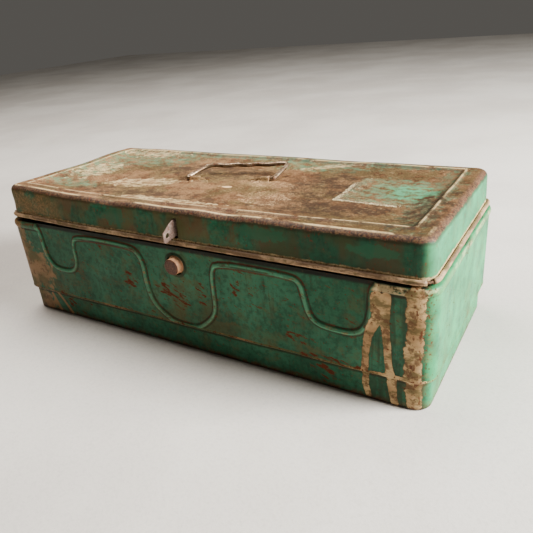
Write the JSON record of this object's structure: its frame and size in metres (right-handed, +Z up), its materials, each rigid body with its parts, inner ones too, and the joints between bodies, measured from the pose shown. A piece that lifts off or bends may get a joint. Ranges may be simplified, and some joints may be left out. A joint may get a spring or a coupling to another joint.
{
  "type": "lunch box",
  "caption": "Long pressed-steel lunch box with embossed walls, a hinged lid with a curled edge, a folding wire handle and a push-button catch with a padlock tongue.",
  "frame": {"origin": "on the floor, under the middle of the whole object's plan (the box's own plan centre is 2.4 mm behind it)", "axes": "+X along the box to the viewer's right, +Y from the catch side to the hinge side, +Z up"},
  "size_m": [0.4728, 0.2186, 0.1528],
  "materials": {
    "body_paint": "worn jade green enamel on pressed steel, chipped to rust",
    "lid_paint": "green enamel worn through to brown rusty steel on top",
    "pan_paint": "worn green enamel on the bottom pan",
    "handle_steel": "dull bare wire with brown tarnish",
    "catch_steel": "bare spring steel with light rust",
    "button_steel": "rusty brown steel",
    "hinge_steel": "tarnished steel with traces of green paint",
    "rivet_steel": "dull steel",
    "edge_wire_steel": "dark rusty wire"
  },
  "bodies": {
    "box": {"body_front_wall": "body_paint", "body_back_wall": "body_paint", "body_left_wall": "body_paint", "body_right_wall": "body_paint", "bottom_pan": "pan_paint", "spring_bracket": "catch_steel", "spring_rivet_left": "rivet_steel", "spring_rivet_right": "rivet_steel", "hinge_left_body_leaf": "hinge_steel", "hinge_left_pin": "rivet_steel", "hinge_left_body_rivet_1": "rivet_steel", "hinge_left_body_rivet_2": "rivet_steel", "hinge_right_body_leaf": "hinge_steel", "hinge_right_pin": "rivet_steel", "hinge_right_body_rivet_1": "rivet_steel", "hinge_right_body_rivet_2": "rivet_steel"},
    "lid": {"lid_top": "lid_paint", "lid_front_skirt": "lid_paint", "lid_back_skirt": "lid_paint", "lid_left_skirt": "lid_paint", "lid_right_skirt": "lid_paint", "lid_edge_wire": "edge_wire_steel", "hinge_left_lid_leaf": "hinge_steel", "hinge_left_lid_rivet_1": "rivet_steel", "hinge_left_lid_rivet_2": "rivet_steel", "hinge_right_lid_leaf": "hinge_steel", "hinge_right_lid_rivet_1": "rivet_steel", "hinge_right_lid_rivet_2": "rivet_steel"},
    "handle": {"handle": "handle_steel"},
    "catch": {"catch_spring": "catch_steel", "push_button": "button_steel", "button_washer": "rivet_steel"}
  },
  "joints": [
    {"name": "lid_hinge", "type": "hinge", "parent": "box", "child": "lid", "pos_m": [0, 0.1064, 0.1109], "axis": [-1, 0, 0], "range_deg": [0, 105]},
    {"name": "handle_swing", "type": "hinge", "parent": "lid", "child": "handle", "pos_m": [-0.0046, 0.0067, 0.1436], "axis": [0.9767, 0.2147, 0], "range_deg": [0, 152]},
    {"name": "catch_press", "type": "hinge", "parent": "box", "child": "catch", "pos_m": [0, -0.0901, 0.052], "axis": [-1, 0, 0], "range_deg": [0, 11], "stiffness_Nm_per_rad": 3, "springref_deg": -1.15, "deforming": ["catch_spring"]}
  ]
}
